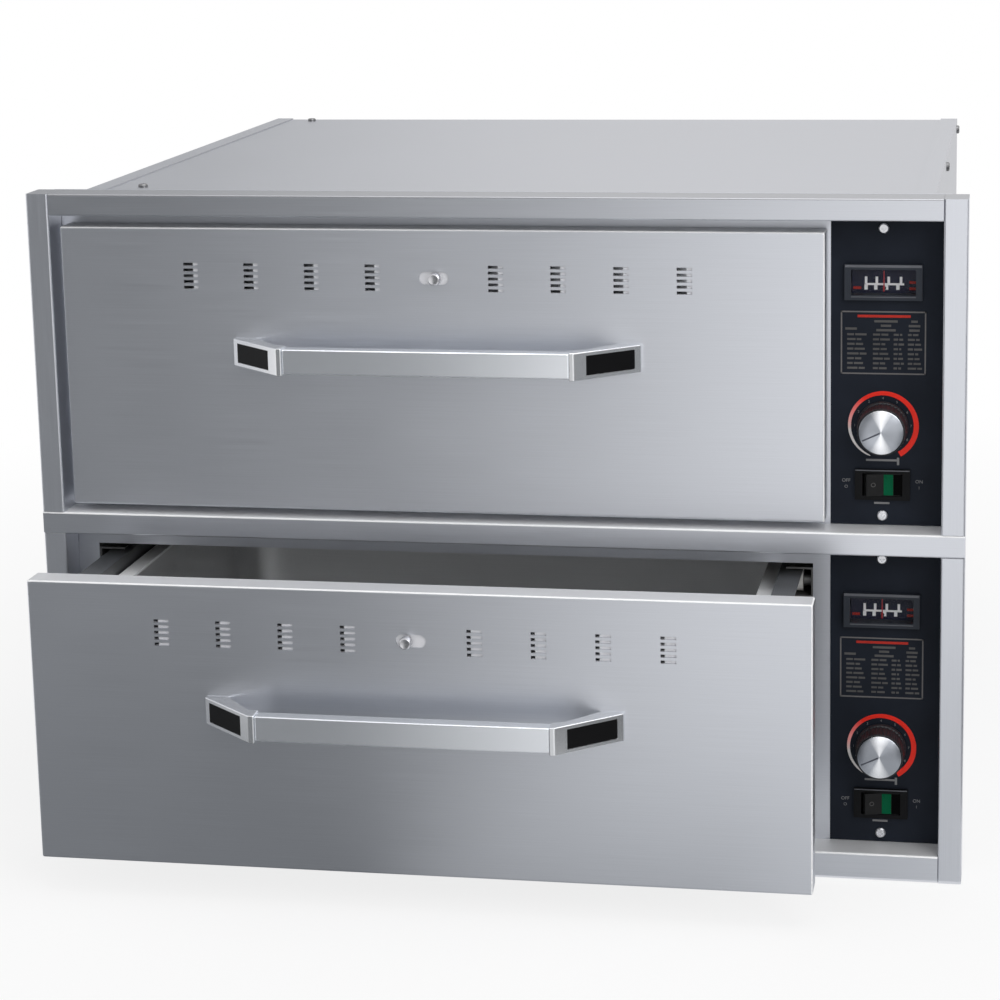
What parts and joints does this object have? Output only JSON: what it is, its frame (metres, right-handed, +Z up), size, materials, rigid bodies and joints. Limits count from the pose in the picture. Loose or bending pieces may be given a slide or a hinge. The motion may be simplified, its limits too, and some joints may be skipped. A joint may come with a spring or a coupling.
{
  "type": "two-drawer built-in food warmer",
  "caption": "Built-in stainless food warmer with roller drawers, lift-out pans, sliding vents, bar handles and a recessed control column of thermostats, thermometers and rocker switches.",
  "frame": {"origin": "middle of the underside of the base panel", "axes": "+X to the viewer's right when facing the drawers, +Y from the drawer fronts to the back, +Z up"},
  "size_m": [0.75, 0.806, 0.548],
  "materials": {
    "trim_steel": "fine horizontal brushing",
    "face_steel": "fine brushing",
    "case_steel": "dull mill finish",
    "bay_steel": "dull, heat stained",
    "slide_steel": "zinc plated",
    "heater_tube": "heat darkened",
    "black_plastic": "fine grain",
    "black_plate": "satin black",
    "thermostat_case": "plated",
    "knob": "spun cap on a black skirt",
    "rocker": "satin",
    "needle_red": "satin",
    "screw_steel": "zinc plated",
    "nylon": "satin",
    "front_steel": "fine horizontal brushing",
    "inner_steel": "dull",
    "shutter_steel": "dull",
    "knob_steel": "turned",
    "handle_steel": "brushed along its length",
    "cap_metal": "polished casting",
    "frame_steel": "plated",
    "pan_steel": "bright"
  },
  "bodies": {
    "cabinet": {"trim_upper": "trim_steel", "trim_mid": "trim_steel", "trim_lower": "trim_steel", "front_frame": "face_steel", "top_panel": "case_steel", "left_side": "case_steel", "right_side": "case_steel", "base_panel": "case_steel", "back_panel": "case_steel", "bay_left": "bay_steel", "control_wall": "bay_steel", "mid_shelf": "bay_steel", "channel_lu": "slide_steel", "channel_ru": "slide_steel", "channel_ll": "slide_steel", "channel_rl": "slide_steel", "heater_upper": "heater_tube", "heater_lower": "heater_tube", "cord_gland": "black_plastic", "screws": "screw_steel", "panel_upper": "black_plate", "panel_lower": "black_plate", "thermostat_upper": "thermostat_case", "thermostat_lower": "thermostat_case", "gauge_upper": "black_plastic", "gauge_lower": "black_plastic", "switch_upper": "black_plastic", "switch_lower": "black_plastic"},
    "drawer_upper": {"front_upper": "front_steel", "inner_upper": "inner_steel", "handle_upper": "handle_steel", "cap_left_upper": "cap_metal", "cap_right_upper": "cap_metal", "frame_upper": "frame_steel"},
    "vent_upper": {"shutter_upper": "shutter_steel", "vent_knob_upper": "knob_steel"},
    "food_pan_upper": {"pan_upper": "pan_steel"},
    "dial_knob_upper": {"knob_upper": "knob"},
    "switch_rocker_upper": {"rocker_upper": "rocker"},
    "gauge_needle_upper": {"needle_upper": "needle_red"},
    "front_wheel_lu": {"front_roller_lu": "nylon"},
    "rear_wheel_lu": {"rear_roller_lu": "nylon"},
    "front_wheel_ru": {"front_roller_ru": "nylon"},
    "rear_wheel_ru": {"rear_roller_ru": "nylon"},
    "drawer_lower": {"front_lower": "front_steel", "inner_lower": "inner_steel", "handle_lower": "handle_steel", "cap_left_lower": "cap_metal", "cap_right_lower": "cap_metal", "frame_lower": "frame_steel"},
    "vent_lower": {"shutter_lower": "shutter_steel", "vent_knob_lower": "knob_steel"},
    "food_pan_lower": {"pan_lower": "pan_steel"},
    "dial_knob_lower": {"knob_lower": "knob"},
    "switch_rocker_lower": {"rocker_lower": "rocker"},
    "gauge_needle_lower": {"needle_lower": "needle_red"},
    "front_wheel_ll": {"front_roller_ll": "nylon"},
    "rear_wheel_ll": {"rear_roller_ll": "nylon"},
    "front_wheel_rl": {"front_roller_rl": "nylon"},
    "rear_wheel_rl": {"rear_roller_rl": "nylon"}
  },
  "joints": [
    {"name": "drawer_slide_upper", "type": "slide", "parent": "cabinet", "child": "drawer_upper", "axis": [0, -1, 0], "range_m": [0, 0.39]},
    {"name": "vent_slide_upper", "type": "slide", "parent": "drawer_upper", "child": "vent_upper", "axis": [1, 0, 0], "range_m": [-0.0076, 0.0044]},
    {"name": "pan_lift_upper", "type": "slide", "parent": "drawer_upper", "child": "food_pan_upper", "axis": [0, 0, 1], "range_m": [0, 0.015]},
    {"name": "thermostat_turn_upper", "type": "hinge", "parent": "cabinet", "child": "dial_knob_upper", "pos_m": [0.30975, -0.292, 0.3655], "axis": [0, 1, 0], "range_deg": [0, 270]},
    {"name": "switch_rock_upper", "type": "hinge", "parent": "cabinet", "child": "switch_rocker_upper", "pos_m": [0.30975, -0.289, 0.3185], "axis": [0, 0, 1], "range_deg": [-16, 0]},
    {"name": "needle_swing_upper", "type": "hinge", "parent": "cabinet", "child": "gauge_needle_upper", "pos_m": [0.30975, -0.287, 0.4735], "axis": [0, 1, 0], "range_deg": [-50, 50], "stiffness_Nm_per_rad": 0.003},
    {"name": "front_wheel_spin_lu", "type": "hinge", "parent": "cabinet", "child": "front_wheel_lu", "pos_m": [-0.3255, -0.2765, 0.4983], "axis": [1, 0, 0], "continuous": true},
    {"name": "rear_wheel_spin_lu", "type": "hinge", "parent": "drawer_upper", "child": "rear_wheel_lu", "pos_m": [-0.3255, 0.1392, 0.4988], "axis": [1, 0, 0], "continuous": true},
    {"name": "front_wheel_spin_ru", "type": "hinge", "parent": "cabinet", "child": "front_wheel_ru", "pos_m": [0.2415, -0.2765, 0.4983], "axis": [1, 0, 0], "continuous": true},
    {"name": "rear_wheel_spin_ru", "type": "hinge", "parent": "drawer_upper", "child": "rear_wheel_ru", "pos_m": [0.2415, 0.1392, 0.4988], "axis": [1, 0, 0], "continuous": true},
    {"name": "drawer_slide_lower", "type": "slide", "parent": "cabinet", "child": "drawer_lower", "axis": [0, -1, 0], "range_m": [-0.112, 0.278]},
    {"name": "vent_slide_lower", "type": "slide", "parent": "drawer_lower", "child": "vent_lower", "axis": [1, 0, 0], "range_m": [-0.003, 0.009]},
    {"name": "pan_lift_lower", "type": "slide", "parent": "drawer_lower", "child": "food_pan_lower", "axis": [0, 0, 1], "range_m": [0, 0.015]},
    {"name": "thermostat_turn_lower", "type": "hinge", "parent": "cabinet", "child": "dial_knob_lower", "pos_m": [0.30975, -0.292, 0.102], "axis": [0, 1, 0], "range_deg": [0, 270]},
    {"name": "switch_rock_lower", "type": "hinge", "parent": "cabinet", "child": "switch_rocker_lower", "pos_m": [0.30975, -0.289, 0.055], "axis": [0, 0, 1], "range_deg": [-16, 0]},
    {"name": "needle_swing_lower", "type": "hinge", "parent": "cabinet", "child": "gauge_needle_lower", "pos_m": [0.30975, -0.287, 0.21], "axis": [0, 1, 0], "range_deg": [-50, 50], "stiffness_Nm_per_rad": 0.003},
    {"name": "front_wheel_spin_ll", "type": "hinge", "parent": "cabinet", "child": "front_wheel_ll", "pos_m": [-0.3255, -0.2765, 0.2348], "axis": [1, 0, 0], "continuous": true},
    {"name": "rear_wheel_spin_ll", "type": "hinge", "parent": "drawer_lower", "child": "rear_wheel_ll", "pos_m": [-0.3255, 0.0272, 0.2353], "axis": [1, 0, 0], "continuous": true},
    {"name": "front_wheel_spin_rl", "type": "hinge", "parent": "cabinet", "child": "front_wheel_rl", "pos_m": [0.2415, -0.2765, 0.2348], "axis": [1, 0, 0], "continuous": true},
    {"name": "rear_wheel_spin_rl", "type": "hinge", "parent": "drawer_lower", "child": "rear_wheel_rl", "pos_m": [0.2415, 0.0272, 0.2353], "axis": [1, 0, 0], "continuous": true}
  ],
  "couplings": [
    {"joint": "front_wheel_spin_lu", "follows": "drawer_slide_upper", "rad_per_m": 111.11},
    {"joint": "rear_wheel_spin_lu", "follows": "drawer_slide_upper", "rad_per_m": 100},
    {"joint": "front_wheel_spin_ru", "follows": "drawer_slide_upper", "rad_per_m": 111.11},
    {"joint": "rear_wheel_spin_ru", "follows": "drawer_slide_upper", "rad_per_m": 100},
    {"joint": "front_wheel_spin_ll", "follows": "drawer_slide_lower", "rad_per_m": 111.11},
    {"joint": "rear_wheel_spin_ll", "follows": "drawer_slide_lower", "rad_per_m": 100},
    {"joint": "front_wheel_spin_rl", "follows": "drawer_slide_lower", "rad_per_m": 111.11},
    {"joint": "rear_wheel_spin_rl", "follows": "drawer_slide_lower", "rad_per_m": 100}
  ]
}
